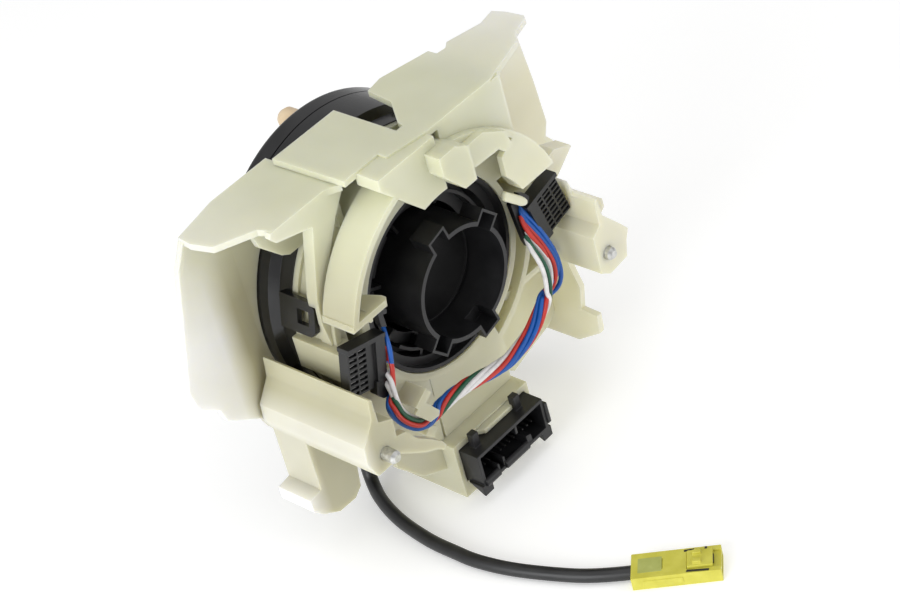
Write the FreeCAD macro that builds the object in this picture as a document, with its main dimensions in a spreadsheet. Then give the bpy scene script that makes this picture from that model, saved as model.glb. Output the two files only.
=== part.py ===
import FreeCAD, Part
import Sketcher
import math
import os
from types import SimpleNamespace

# Steering clock spring on its combination switch body, seen from the steering column.
# The bore axis is Y and the driver sits at +Y. +Z is up as installed, and the origin
# lies on the bore axis in the plane of the guide ring's column-side rim.

doc = FreeCAD.newDocument("steering_clock_spring")
sheet = doc.addObject("Spreadsheet::Sheet", "Sizes")

# Driving dimensions, in millimetres and degrees
DIMENSIONS = [
    # Cancel sleeve in the bore, which turns with the wheel
    ("sleeve_bore_radius", 20.3),
    ("sleeve_wall", 1.7),
    ("sleeve_front", -12.1),
    ("sleeve_back", 24.0),
    ("lug_radius", 26.5),
    ("lug_width", 9.0),
    ("lug_depth", 9.0),
    ("lug_wall", 1.0),
    # Fixed guide ring round the sleeve
    ("ring_radius", 36.3),
    ("ring_rim", 1.6),
    ("ring_step_radius", 31.5),
    ("ring_step_depth", 3.4),
    ("ring_floor", 10.0),
    ("ring_rib_front", 4.5),
    ("ring_bore_radius", 24.2),
    ("seat_gap", 0.3),
    # Stator and rotor of the cable reel
    ("stator_nose_step", 2.8),
    ("stator_nose_depth", 6.0),
    ("reel_radius", 55.0),
    ("stator_back", 45.8),
    ("case_wall", 1.8),
    ("running_gap", 0.5),
    ("rotor_back", 54.5),
    ("rotor_round", 2.6),
    ("bearing_clearance", 0.06),
    ("latch_front", 6.5),
    ("latch_height", 13.0),
    ("latch_turn", 15.6),
    ("latch_window", 5.6),
    ("latch_inset", 0.1),
    ("latch_thickness", 2.2),
    ("outlet_x", -29.0),
    ("outlet_y", 36.0),
    ("outlet_bottom", -50.0),
    ("ribbon_inner_radius", 38.0),
    ("ribbon_width", 13.0),
    ("peg_radius", 4.3),
    ("peg_height", 10.5),
    ("peg_inset", 8.0),
    ("socket_length", 26.0),
    ("socket_height", 13.0),
    ("socket_depth", 9.5),
    ("socket_wall", 1.4),
    ("socket_circle", 38.0),
    ("pin_size", 0.64),
    ("socket_pin_length", 4.0),
    # Moulded switch body
    ("wall", 2.5),
    ("web_back", 20.5),
    ("web_radius", 51.8),
    ("collar_wall", 2.6),
    ("barrel_radius", 55.4),
    ("barrel_front", -13.0),
    ("bay_roof", 19.0),
    ("roof_top", 62.3),
    ("roof_back", 30.5),
    ("barrel_back", 2.0),
    ("post_front", 3.5),
    ("panel_front", 34.3),
    ("arch_radius", 39.5),
    ("rail_front", -21.0),
    ("screw_x", 61.0),
    ("screw_z", -27.0),
    ("screw_radius", 2.45),
    ("screw_waist_radius", 2.0),
    ("left_screw_tip", -27.0),
    ("right_screw_tip", -24.0),
    ("screw_head_radius", 4.6),
    ("screw_head_depth", 3.4),
    ("screw_length", 22.0),
    # Stalk connectors
    ("connector_x", 49.0),
    ("connector_front", -9.0),
    ("connector_depth", 4.4),
    ("connector_width", 16.8),
    ("connector_height", 19.0),
    ("connector_lean", 14.0),
    ("left_connector_z", -2.0),
    ("right_connector_z", -1.8),
    ("post_width", 4.4),
    ("post_step", 1.2),
    ("hood_width", 6.6),
    ("hood_depth", 6.6),
    ("hood_height", 3.2),
    ("contact_pitch", 2.1),
    ("contact_slot_width", 3.6),
    ("contact_slot_height", 1.2),
    ("contact_slot_depth", 3.0),
    ("contact_blade", 0.5),
    # Column harness connector below the bore
    ("harness_x", 0.9),
    ("harness_width", 36.6),
    ("harness_height", 14.5),
    ("harness_front", -13.3),
    ("harness_depth", 15.0),
    ("harness_top", -67.7),
    ("harness_wall", 1.5),
    # Jumper wires between the stalk connectors
    ("wire_diameter", 1.75),
    ("wire_spacing", 1.9),
    ("bundle_y", -13.2),
    # Airbag lead and plug
    ("lead_diameter", 5.2),
    ("lead_level", -88.2),
    ("plug_x", -21.5),
    ("plug_y", -84.1),
    ("plug_turn", -52.51),
    ("plug_length", 31.5),
    ("plug_width", 12.5),
    ("plug_height", 5.4),
    ("lock_length", 9.0),
    ("lock_width", 8.0),
    ("lock_height", 2.0),
    ("lock_gap", 0.15),
    ("lock_travel", 2.0),
]


class Size:
    """A dimension, with its number and the sheet formula that gives it."""

    def __init__(self, number, formula):
        self.number = number
        self.formula = formula

    def __add__(self, other):
        other = as_size(other)
        return Size(self.number + other.number, f"({self.formula} + {other.formula})")

    __radd__ = __add__

    def __neg__(self):
        return Size(-self.number, f"(-{self.formula})")

    def __sub__(self, other):
        return self + (-as_size(other))

    def __rsub__(self, other):
        return as_size(other) + (-self)

    def __mul__(self, other):
        other = as_size(other)
        return Size(self.number * other.number, f"({self.formula} * {other.formula})")

    __rmul__ = __mul__

    def __truediv__(self, other):
        other = as_size(other)
        return Size(self.number / other.number, f"({self.formula} / {other.formula})")


def as_size(value):
    """Takes a plain number as a size too."""
    if isinstance(value, Size):
        return value
    return Size(value, f"({value})")


s = SimpleNamespace()
for row, (alias, number) in enumerate(DIMENSIONS, start=1):
    sheet.set(f"A{row}", alias)
    sheet.set(f"B{row}", str(number))
    sheet.setAlias(f"B{row}", alias)
    setattr(s, alias, Size(number, f"Sizes.{alias}"))
s.stator_front = s.web_back
s.stator_nose_radius = s.reel_radius - s.stator_nose_step
s.latch_outer = s.reel_radius - s.latch_inset
s.peg_circle = s.reel_radius - s.peg_inset
doc.recompute()

NODES = []


# Building blocks

def bind(obj, name, value):
    """Ties one property to its formula in the sheet."""
    obj.setExpression(name, as_size(value).formula)


def place(obj, point, turn=None):
    """Puts an object at a point whose coordinates follow the sheet."""
    obj.Placement = FreeCAD.Placement(FreeCAD.Vector(), turn or FreeCAD.Rotation())
    for letter, value in zip("xyz", point):
        bind(obj, f"Placement.Base.{letter}", value)


def about_y(angle):
    """A turn in the plane of the bore, from +X towards +Z."""
    return FreeCAD.Rotation(FreeCAD.Vector(0, 1, 0), -angle)


ALONG_Y = FreeCAD.Rotation(FreeCAD.Vector(1, 0, 0), -90)

# An outline's view gives how its sketch lies and which way it is pushed out
VIEWS = {
    "front": (FreeCAD.Rotation(FreeCAD.Vector(1, 0, 0), 90), FreeCAD.Vector(0, 1, 0), "y"),
    "plan": (FreeCAD.Rotation(), FreeCAD.Vector(0, 0, 1), "z"),
    "side": (FreeCAD.Rotation(FreeCAD.Vector(1, 1, 1), 120), FreeCAD.Vector(1, 0, 0), "x"),
}


def draw(sketch, outline):
    """Closes an outline of straight edges, with each corner tied to the sheet."""
    corners = [(as_size(a), as_size(b)) for a, b in outline]
    count = len(corners)
    points = [FreeCAD.Vector(a.number, b.number, 0) for a, b in corners]
    first = sketch.GeometryCount
    edges = [Part.LineSegment(points[i], points[(i + 1) % count]) for i in range(count)]
    sketch.addGeometry(edges, False)
    joints = [
        Sketcher.Constraint("Coincident", first + i, 2, first + (i + 1) % count, 1)
        for i in range(count)
    ]
    sketch.addConstraint(joints)
    for i, (a, b) in enumerate(corners):
        across = sketch.addConstraint(Sketcher.Constraint("DistanceX", -1, 1, first + i, 1, a.number))
        upward = sketch.addConstraint(Sketcher.Constraint("DistanceY", -1, 1, first + i, 1, b.number))
        sketch.setExpression(f"Constraints[{across}]", a.formula)
        sketch.setExpression(f"Constraints[{upward}]", b.formula)


def prism(name, view, outline, start, depth):
    """A flat outline pushed out by a depth, from a plane across its view."""
    turn, direction, letter = VIEWS[view]
    sketch = doc.addObject("Sketcher::SketchObject", f"{name}_outline")
    draw(sketch, outline)
    sketch.Placement = FreeCAD.Placement(FreeCAD.Vector(), turn)
    bind(sketch, f"Placement.Base.{letter}", start)
    solid = doc.addObject("Part::Extrusion", name)
    solid.Base = sketch
    solid.DirMode = "Custom"
    solid.Dir = direction
    solid.Solid = True
    bind(solid, "LengthFwd", depth)
    return solid


def box(name, corner, lengths):
    """A block from its lowest corner."""
    solid = doc.addObject("Part::Box", name)
    for side, value in zip(("Length", "Width", "Height"), lengths):
        bind(solid, side, value)
    place(solid, corner)
    return solid


def rod(name, centre, start, radius, length):
    """A round bar along Y at a centre (x, z), from its column-side end."""
    solid = doc.addObject("Part::Cylinder", name)
    bind(solid, "Radius", radius)
    bind(solid, "Height", length)
    place(solid, (centre[0], start, centre[1]), ALONG_Y)
    return solid


def fuse(name, solids):
    """Joins solids that are moulded as one."""
    joined = doc.addObject("Part::MultiFuse", name)
    joined.Shapes = solids
    joined.Refine = True
    return joined


def common(name, solids):
    """Keeps only what two solids share."""
    shared = doc.addObject("Part::MultiCommon", name)
    shared.Shapes = solids
    shared.Refine = True
    return shared


def cut(name, base, tools):
    """Takes one or more tools out of a base."""
    result = doc.addObject("Part::Cut", name)
    result.Base = base
    result.Tool = tools[0] if len(tools) == 1 else fuse(f"{name}_tools", tools)
    result.Refine = True
    return result


def turned(obj, angle):
    """Turns a whole solid about the bore axis."""
    obj.Placement = FreeCAD.Placement(FreeCAD.Vector(), about_y(angle))
    return obj


def node(obj, name):
    """Names a finished piece of the product."""
    obj.Label = name
    NODES.append(obj)
    return obj


def plane_of(body, role):
    """One of a body's own origin planes."""
    return next(f for f in body.Origin.OriginFeatures if f.Role == role)


def body_sketch(body, name, role, outlines, offset=None):
    """A sketch of closed outlines on an origin plane of its body."""
    sketch = body.newObject("Sketcher::SketchObject", name)
    sketch.AttachmentSupport = (plane_of(body, role), [""])
    sketch.MapMode = "FlatFace"
    if offset is not None:
        bind(sketch, "AttachmentOffset.Base.z", offset)
    for outline in outlines:
        draw(sketch, outline)
    return sketch


def revolved(body, name, outline):
    """A round form: an outline of (radius, y) corners turned about the bore axis."""
    sketch = body_sketch(body, f"{name}_profile", "XY_Plane", [outline])
    form = body.newObject("PartDesign::Revolution", name)
    form.Profile = sketch
    form.ReferenceAxis = (sketch, ["V_Axis"])
    form.Angle = 360
    return form


def padded(body, name, role, outlines, offset, depth, reverse=False):
    """A pad from outlines on a plane, towards the plane's normal or away from it."""
    sketch = body_sketch(body, f"{name}_profile", role, outlines, offset)
    form = body.newObject("PartDesign::Pad", name)
    form.Profile = sketch
    form.Reversed = reverse
    bind(form, "Length", depth)
    return form


def pocketed(body, name, role, outlines, offset, depth, reverse=False):
    """A pocket from outlines on a plane, against the plane's normal or along it."""
    sketch = body_sketch(body, f"{name}_profile", role, outlines, offset)
    form = body.newObject("PartDesign::Pocket", name)
    form.Profile = sketch
    form.Reversed = reverse
    bind(form, "Length", depth)
    return form


def rectangle(low_a, low_b, high_a, high_b):
    """The four corners of an upright rectangle."""
    return [(low_a, low_b), (high_a, low_b), (high_a, high_b), (low_a, high_b)]


# Cancel sleeve: a moulded tube with four hollow keys round its column-side rim,
# which pass the wheel's turning to the turn-signal cancelling levers

LUG_ANGLES = (43, 105, -137, -75)


def cancel_sleeve():
    outer = s.sleeve_bore_radius + s.sleeve_wall
    length = s.sleeve_back - s.sleeve_front
    tube = rod("sleeve_tube", (0, 0), s.sleeve_front, outer, length)
    shells = [tube]
    hollows = []
    for index, angle in enumerate(LUG_ANGLES):
        key = rectangle(s.sleeve_bore_radius, -s.lug_width / 2, s.lug_radius, s.lug_width / 2)
        slot = rectangle(
            s.sleeve_bore_radius - 3,
            -s.lug_width / 2 + s.lug_wall,
            s.lug_radius - s.lug_wall,
            s.lug_width / 2 - s.lug_wall,
        )
        shell = prism(f"sleeve_key_{index}", "front", key, s.sleeve_front, s.lug_depth)
        shells.append(turned(shell, angle))
        slot_depth = s.lug_depth + 1 - s.lug_wall
        hollow = prism(f"sleeve_slot_{index}", "front", slot, s.sleeve_front - 1, slot_depth)
        hollows.append(turned(hollow, angle))
    bore = rod("sleeve_bore", (0, 0), s.sleeve_front - 1, s.sleeve_bore_radius, length + 2)
    return cut("cancel_sleeve", fuse("sleeve_shell", shells), [bore] + hollows)


node(cancel_sleeve(), "cancel_sleeve")


# Guide ring: the fixed stepped ring between the sleeve and the switch body, with short
# ribs and arc walls on its floor and two notches in its rim

def guide_ring():
    body = doc.addObject("PartDesign::Body", "guide_ring_turning")
    rim = s.ring_radius - s.ring_rim
    profile = [
        (s.ring_radius, 0),
        (s.ring_radius, s.stator_front),
        (s.ring_radius - s.wall, s.stator_front),
        (s.ring_radius - s.wall, s.ring_floor + s.wall),
        (s.ring_bore_radius, s.ring_floor + s.wall),
        (s.ring_bore_radius, s.ring_floor),
        (s.ring_step_radius, s.ring_floor),
        (s.ring_step_radius, s.ring_step_depth),
        (rim, s.ring_step_depth),
        (rim, 0),
    ]
    revolved(body, "guide_ring_form", profile)
    pieces = [body]
    for index, (start, sweep) in enumerate(((58, 44), (150, 30), (194, 34), (258, 40), (318, 30))):
        wall = doc.addObject("Part::Cylinder", f"ring_arc_{index}")
        bind(wall, "Radius", s.ring_step_radius - 2.0)
        bind(wall, "Height", s.ring_floor - s.ring_rib_front)
        wall.Angle = sweep
        turn = about_y(start).multiply(ALONG_Y)
        wall.Placement = FreeCAD.Placement(FreeCAD.Vector(), turn)
        place(wall, (0, s.ring_rib_front, 0), turn)
        pieces.append(wall)
    for index, angle in enumerate((66, 112, 158, 204, 242, 292, 335)):
        rib = rectangle(s.ring_bore_radius + 0.6, -0.6, s.ring_step_radius + 0.4, 0.6)
        depth = s.ring_floor - s.ring_rib_front + 0.2
        pieces.append(turned(prism(f"ring_rib_{index}", "front", rib, s.ring_rib_front, depth), angle))
    core = rod("ring_core", (0, 0), -1, s.ring_step_radius - 3.2, s.ring_floor + 1)
    return body, pieces, core


def ring_assembly():
    body, pieces, core = guide_ring()
    walls = fuse("ring_arc_walls", [p for p in pieces if p.Name.startswith("ring_arc")])
    hollow_walls = cut("ring_arc_shells", walls, [core])
    ribs = [p for p in pieces if p.Name.startswith("ring_rib")]
    notches = []
    for index, angle in enumerate((97, 163)):
        notch = rectangle(s.ring_radius - 3.4, -3.2, s.ring_radius + 1, 3.2)
        gap = prism(f"ring_notch_{index}", "front", notch, -1, s.ring_step_depth + 1)
        notches.append(turned(gap, angle))
    joined = fuse("ring_joined", [body, hollow_walls] + ribs)
    return cut("guide_ring", joined, notches)


node(ring_assembly(), "guide_ring")


# Stator: the fixed cup of the cable reel, with a narrower nose and two latch arms
# that reach past the switch body's barrel

def stator_case():
    body = doc.addObject("PartDesign::Body", "stator_turning")
    bore = s.sleeve_bore_radius + s.sleeve_wall + s.bearing_clearance
    shoulder = s.stator_front + s.stator_nose_depth
    step = s.reel_radius - s.stator_nose_radius
    profile = [
        (bore, s.stator_front),
        (s.stator_nose_radius, s.stator_front),
        (s.stator_nose_radius, shoulder),
        (s.reel_radius, shoulder + step),
        (s.reel_radius, s.stator_back),
        (s.reel_radius - s.case_wall, s.stator_back),
        (s.reel_radius - s.case_wall, shoulder + step + s.case_wall),
        (s.stator_nose_radius - s.case_wall, shoulder + s.case_wall),
        (s.stator_nose_radius - s.case_wall, s.stator_front + s.case_wall),
        (bore, s.stator_front + s.case_wall),
    ]
    revolved(body, "stator_form", profile)
    arms = []
    windows = []
    high = s.latch_height / 2
    thick = s.latch_thickness
    root = s.stator_front + 3
    root_depth = 7
    for side, sign, x, root_x in (
        ("left", -1, -s.latch_outer, -s.latch_outer),
        ("right", 1, s.latch_outer - thick, s.latch_outer - root_depth),
    ):
        turn = sign * s.latch_turn.number
        arm = [
            (s.latch_front, 2 - high),
            (s.latch_front + 2, -high),
            (root, -high),
            (root, high),
            (s.latch_front + 2, high),
            (s.latch_front, high - 2),
        ]
        arms.append(turned(prism(f"latch_arm_{side}", "side", arm, x, thick), turn))
        foot = rectangle(s.stator_front, -high, root, high)
        arms.append(turned(prism(f"latch_root_{side}", "side", foot, root_x, root_depth), turn))
        window = rectangle(
            s.latch_front + 3, -s.latch_window / 2, s.latch_front + 3 + s.latch_window, s.latch_window / 2
        )
        windows.append(turned(prism(f"latch_window_{side}", "side", window, x - 1, thick + 2), turn))
    block = box("outlet_block", (s.outlet_x - 5, s.outlet_y - 5, s.outlet_bottom), (10, 10, 8))
    inside = rod("outlet_inside", (0, 0), s.web_back, s.reel_radius - s.case_wall / 2, 30)
    outlet = cut("lead_outlet", block, [inside])
    return cut("stator_case", fuse("stator_joined", [body, outlet] + arms), windows)


node(stator_case(), "stator_case")


# Ribbon cable: flat conductors wound loosely between the rotor's hub and the stator,
# here the outer form of its turns

def ribbon_coil():
    body = doc.addObject("PartDesign::Body", "ribbon_coil")
    step = s.reel_radius - s.stator_nose_radius
    start = s.stator_front + s.stator_nose_depth + step + s.case_wall
    outer = s.reel_radius - s.case_wall
    profile = rectangle(s.ribbon_inner_radius, start, outer, start + s.ribbon_width)
    revolved(body, "ribbon_form", profile)
    return body


node(ribbon_coil(), "ribbon_coil")


# Rotor: the disc under the steering wheel with its hub tube, which seats on the sleeve

def rotor():
    body = doc.addObject("PartDesign::Body", "rotor")
    front = s.stator_back + s.running_gap
    hub = s.sleeve_bore_radius + s.sleeve_wall
    profile = [
        (s.sleeve_bore_radius, s.sleeve_back),
        (hub, s.sleeve_back),
        (hub, s.rotor_back - s.wall),
        (s.reel_radius - s.case_wall, s.rotor_back - s.wall),
        (s.reel_radius - s.case_wall, front),
        (s.reel_radius, front),
        (s.reel_radius, s.rotor_back),
        (s.sleeve_bore_radius, s.rotor_back),
    ]
    form = revolved(body, "rotor_form", profile)
    doc.recompute()
    edge = next(
        f"Edge{i}"
        for i, e in enumerate(form.Shape.Edges, start=1)
        if e.Curve.TypeId == "Part::GeomCircle"
        and abs(e.Curve.Radius - s.reel_radius.number) < 0.01
        and abs(e.Curve.Center.y - s.rotor_back.number) < 0.01
    )
    rounding = body.newObject("PartDesign::Fillet", "rotor_rounding")
    rounding.Base = (form, [edge])
    bind(rounding, "Radius", s.rotor_round)
    return body


node(rotor(), "rotor")


# Drive peg: the pale pin that the steering wheel's back plate takes hold of

def drive_peg():
    body = doc.addObject("PartDesign::Body", "drive_peg")
    tip = s.peg_radius - 1.2
    profile = [
        (0, 0),
        (s.peg_radius, 0),
        (s.peg_radius, s.peg_height - 2),
        (tip, s.peg_height),
        (0, s.peg_height),
    ]
    revolved(body, "peg_form", profile)
    place(body, (3, s.rotor_back, s.peg_circle))
    return body


node(drive_peg(), "drive_peg")


# Wheel-side socket: an open connector shroud below the hub, on the driver's face

def wheel_socket():
    body = doc.addObject("PartDesign::Body", "wheel_socket")
    half = s.socket_length / 2
    low = -s.socket_circle - s.socket_height / 2
    outer = rectangle(-half, low, half, low + s.socket_height)
    padded(body, "socket_block", "XZ_Plane", [outer], -s.rotor_back, s.socket_depth, True)
    inner = rectangle(
        -half + s.socket_wall,
        low + s.socket_wall,
        half - s.socket_wall,
        low + s.socket_height - s.socket_wall,
    )
    mouth = -s.rotor_back - s.socket_depth
    pocketed(body, "socket_mouth", "XZ_Plane", [inner], mouth, s.socket_depth - 2, True)
    return body


node(wheel_socket(), "wheel_socket")


def pin_group(name, places, start, length, size):
    """Square pins along Y, as one group of separate solids."""
    pins = []
    for index, (x, z) in enumerate(places):
        pins.append(box(f"{name}_{index}", (x - size / 2, start, z - size / 2), (size, length, size)))
    return fuse(name, pins)


socket_pins = [(-9 + 3.0 * i, -s.socket_circle) for i in range(7)]
node(
    pin_group("wheel_socket_pins", socket_pins, s.rotor_back + 2, s.socket_pin_length, s.pin_size),
    "wheel_socket_pins",
)


# Switch body: one nylon moulding with the barrel round the reel, the stalk pockets at
# both sides, the roof, the two screw rails and the carrier of the harness connector

def mirrored(outline):
    """The same outline on the other side of the bore."""
    return [(-as_size(a), b) for a, b in outline]


def switch_housing():
    solids = []
    tools = []
    front = s.barrel_front
    back = s.roof_back
    rim = s.barrel_back - front
    collar_radius = s.ring_radius + s.seat_gap

    # Barrel wall and its floor over the upper half, the collar and the web behind
    below = box("below_the_bays", (-60, front - 1, -60), (120, 60, 60 + s.bay_roof - s.wall))
    drum = rod("barrel_outside", (0, 0), front, s.barrel_radius, rim)
    drum_room = rod("barrel_inside", (0, 0), front - 1, s.barrel_radius - s.wall, rim + 1 - s.wall)
    solids.append(cut("barrel", drum, [drum_room, below]))
    neck_radius = s.barrel_radius - 2 * s.wall
    neck_depth = s.web_back - s.barrel_back
    neck = rod("barrel_neck", (0, 0), s.barrel_back, neck_radius, neck_depth)
    neck_room = rod("barrel_neck_inside", (0, 0), s.barrel_back - 1, neck_radius - s.wall, neck_depth + 2)
    solids.append(cut("neck", neck, [neck_room]))
    collar_front = -0.5
    collar_depth = s.web_back - collar_front
    solids.append(rod("collar", (0, 0), collar_front, collar_radius + s.collar_wall, collar_depth))
    solids.append(rod("web_disc", (0, 0), s.web_back - s.wall, s.web_radius, s.wall))

    # Bay roofs above the stalk connectors
    bay = [
        (-52.5, front),
        (-36, front),
        (-34.5, front + 1.2),
        (-34.5, front + 3),
        (-38.5, -0.4),
        (-38.5, s.web_back),
        (-50, s.web_back),
        (-50, s.barrel_back),
        (-52.5, s.barrel_back),
    ]
    solids.append(prism("left_bay_roof", "plan", bay, s.bay_roof - s.wall, s.wall))
    solids.append(prism("right_bay_roof", "plan", mirrored(bay), s.bay_roof - s.wall, s.wall))

    # Seats behind the stalk connectors
    seat_face = s.connector_front + s.connector_depth
    seat_depth = s.web_back - seat_face
    for side, x, z in (
        ("left", -s.connector_x, s.left_connector_z),
        ("right", s.connector_x, s.right_connector_z),
    ):
        seat = box(f"{side}_connector_seat", (x - 5, seat_face, z - 7), (8, seat_depth, 13))
        solids.append(seat)

    # Sloping post from the barrel up to the roof, with a groove between it and the barrel
    panel_back = s.panel_front + s.wall
    post = [
        (-25.8, s.roof_top - 3),
        (-43, s.roof_top - 3),
        (-44, 50.2),
        (-51.3, 24.1),
        (-52.2, 14),
        (-50, -4),
        (-44, -4),
        (-43.4, 30.8),
        (-40.2, 36.7),
        (-33.2, 47.9),
        (-25.8, 57.1),
    ]
    solids.append(prism("left_post", "front", post, s.post_front, 2 * s.wall))
    lintel = [
        (-60, s.roof_top - 3),
        (-56.8, 45.7),
        (-49.1, 37.2),
        (-45.8, 35.2),
        (-38, 35.2),
        (-36, s.roof_top - 3),
    ]
    solids.append(prism("left_lintel", "front", lintel, s.web_back - s.wall, s.wall))

    # Walls behind the stalk levers, the left one dished towards the reel
    left_face = [
        (-76.5, s.roof_top - 3),
        (-83, 50.6),
        (-95.8, 7.5),
        (-94.2, -1),
        (-86, -8),
        (-84.4, -14),
        (-69, -26),
        (-66, -33),
        (-40, -50),
        (-34.5, -50),
        (-34.5, -40),
        (-30, -40),
        (-30, s.roof_top - 3),
    ]
    dish = [
        (-97, back - s.wall),
        (-80, back - 1),
        (-66, s.panel_front - 2),
        (-57, s.panel_front),
        (-29, s.panel_front),
        (-29, panel_back),
        (-57, panel_back),
        (-66, panel_back - 2),
        (-80, back + 1.5),
        (-97, back),
    ]
    panel = prism("left_panel_outline", "front", left_face, 20, 30)
    slab = prism("left_panel_dish", "plan", dish, -60, 130)
    solids.append(common("left_panel", [panel, slab]))
    right_panel = [
        (12, 50),
        (78, 50),
        (87, 41),
        (90, 17),
        (91.5, -2.5),
        (89.4, -8),
        (92.4, -11.7),
        (90, -15),
        (70, -33),
        (40, -50),
        (30, -50),
        (30, 20),
    ]
    solids.append(prism("right_panel", "front", right_panel, back - s.wall, s.wall))

    # Roof: a higher middle with the lever guard's flange at its left end
    left_roof = [
        (-30, panel_back),
        (-57, panel_back),
        (-66, panel_back - 2),
        (-76.8, back + 2),
        (-77.5, 26),
        (-75.3, 17),
        (-61.6, 9.5),
        (-59.5, 3.5),
        (-35, 3.5),
        (-30, 0),
    ]
    solids.append(prism("left_roof", "plan", left_roof, s.roof_top - 2.8 - s.wall, s.wall))
    roof = [
        (-32, back),
        (-31, -3),
        (-14, -3),
        (-14, -7),
        (4, -10),
        (36, -10),
        (59, -3),
        (63, 1.2),
        (71.4, 3.8),
        (72.4, 5.3),
        (71.7, 13.3),
        (70, 18.7),
        (62.3, 17.2),
        (48, 20.9),
        (44.9, 18.7),
        (41, 19.3),
        (40.9, 23.4),
        (20.7, 28.4),
        (13, 27),
        (11.3, 14.2),
        (3, 3.3),
        (2.3, 0.3),
        (-1, 0.3),
        (-1, back),
    ]
    solids.append(prism("roof", "plan", roof, s.roof_top - s.wall, s.wall))
    flange = [
        (-61.9, 57.5),
        (-59.8, 54.7),
        (-44, 50.2),
        (-42, s.roof_top - 3),
        (-61, s.roof_top - 3),
    ]
    solids.append(prism("roof_flange", "front", flange, 3.5, s.wall))
    # Hoods over the ring: two stepped lips that slope down from the roof
    lip = [
        (-25, s.roof_top - 1),
        (-25, 56.6),
        (-9, 38.5),
        (3, 38.5),
        (3, s.roof_top - 1),
    ]
    solids.append(prism("left_lip", "front", lip, front, 11))
    cheek = [(30, 16.5), (52.5, 16.5), (50, 24), (45, 32), (38, 38.5), (30, 34)]
    solids.append(prism("right_cheek", "front", cheek, front, s.wall))
    lip = [(-3, 50), (5, 40), (11, 40), (11, 54), (5, 57.5), (-3, 57.5)]
    solids.append(prism("right_lip", "front", lip, -20, 12))
    knob = [(9.4, 51), (22, 51), (32, 45), (33.5, 38.5), (30, 37.5), (27, 40.5), (15, 41), (8.8, 46)]
    solids.append(prism("roof_knob", "front", knob, -16, 8))

    # Front wall between the barrel and the roof
    fascia = [(8, s.barrel_radius - 2), (38, 36), (41, 37), (41, s.roof_top - 1), (8, s.roof_top - 1)]
    solids.append(prism("fascia", "front", fascia, -10, s.wall))
    for side, x, start in (("left", -31, 6), ("right", 39, -9)):
        stay = rectangle(x, 36, x + s.wall, s.roof_top - 1)
        solids.append(prism(f"{side}_stay", "front", stay, start, s.web_back - start))

    # Screw rails
    rail = [
        (60, -14),
        (60, -4),
        (61.5, -3),
        (62.5, -11),
        (70.5, -20.5),
        (73.5, -24.5),
        (71.5, -28.5),
        (70, -35),
        (60, -36),
        (55.5, -33),
        (55.5, -17),
    ]
    rail_depth = back - s.rail_front
    solids.append(prism("right_rail", "front", rail, s.rail_front, rail_depth))
    rail = [
        (-60, -14),
        (-60, -4),
        (-61.5, -3),
        (-62.5, -11),
        (-69, -19),
        (-69.5, -26),
        (-66.5, -33.2),
        (-57.5, -33.2),
        (-54.6, -31),
        (-54, -17),
    ]
    solids.append(prism("left_rail", "front", rail, s.rail_front, rail_depth))
    link = rectangle(30, -36, 60, -36 + s.wall)
    solids.append(prism("right_rail_link", "front", link, 5, back - 5))
    link = rectangle(-60, -33.2, -30, -33.2 + s.wall)
    solids.append(prism("left_rail_link", "front", link, 5, back - 5))
    bracket = [(59.6, 3), (61.4, -2.5), (74.6, -15.2), (74.7, -18.9), (71.5, -21.1), (62, -12), (60.2, -8)]
    solids.append(prism("right_rail_shoulder", "front", bracket, -10, back + 10))
    fin = [(61.4, 8.2), (66.3, 9.5), (74.5, 6.2), (75, 5.3), (64.8, -1.8), (60, -2.3)]
    solids.append(prism("right_fin", "front", fin, 0, 7))

    # Lower legs
    leg = [
        (3, -34),
        (0.2, -44.4),
        (-1.7, -50.4),
        (0.5, -61.3),
        (-7.2, -61.9),
        (-6.6, -70.4),
        (5.7, -77.9),
        (22.5, -78),
        (24, -34),
    ]
    solids.append(prism("right_leg", "side", leg, 61, s.wall))
    apron = [
        (16, -30),
        (45, -25),
        (62, -30),
        (62, -66),
        (56, -70.5),
        (44, -73.5),
        (34, -76.4),
        (21, -66),
    ]
    solids.append(prism("right_apron", "front", apron, 15, s.wall))
    left_leg = [
        (-67, -30),
        (-67.2, -54),
        (-73, -54.8),
        (-73, -60),
        (-69.4, -64),
        (-62.1, -68.4),
        (-54, -68.7),
        (-50.3, -65.7),
        (-49.2, -57.7),
        (-50, -31),
    ]
    solids.append(prism("left_leg", "front", left_leg, 14, back - 14))

    # Carrier of the harness connector
    middle = s.harness_x
    half = s.harness_width / 2 + 2.4
    low = s.harness_top - s.harness_height - 6.5
    carrier = rectangle(middle - half, low, middle + half, s.harness_top + 3)
    solids.append(prism("carrier", "front", carrier, s.harness_front + 8.8, 34.5))
    stem = [(-16, s.harness_top), (20, s.harness_top), (22, -50), (18, -34), (-16, -34)]
    solids.append(prism("carrier_stem", "front", stem, 2, 20))

    # Wall behind the jumper wires, from the left rail to the carrier
    apron = [
        (-57.5, -20),
        (-57.5, -33),
        (-42, -50),
        (-41, -60),
        (-31, -72),
        (-18, -78),
        (-16, -34),
        (-33, -22),
        (-40, -12),
    ]
    solids.append(prism("left_apron", "front", apron, 2, s.wall))

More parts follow.
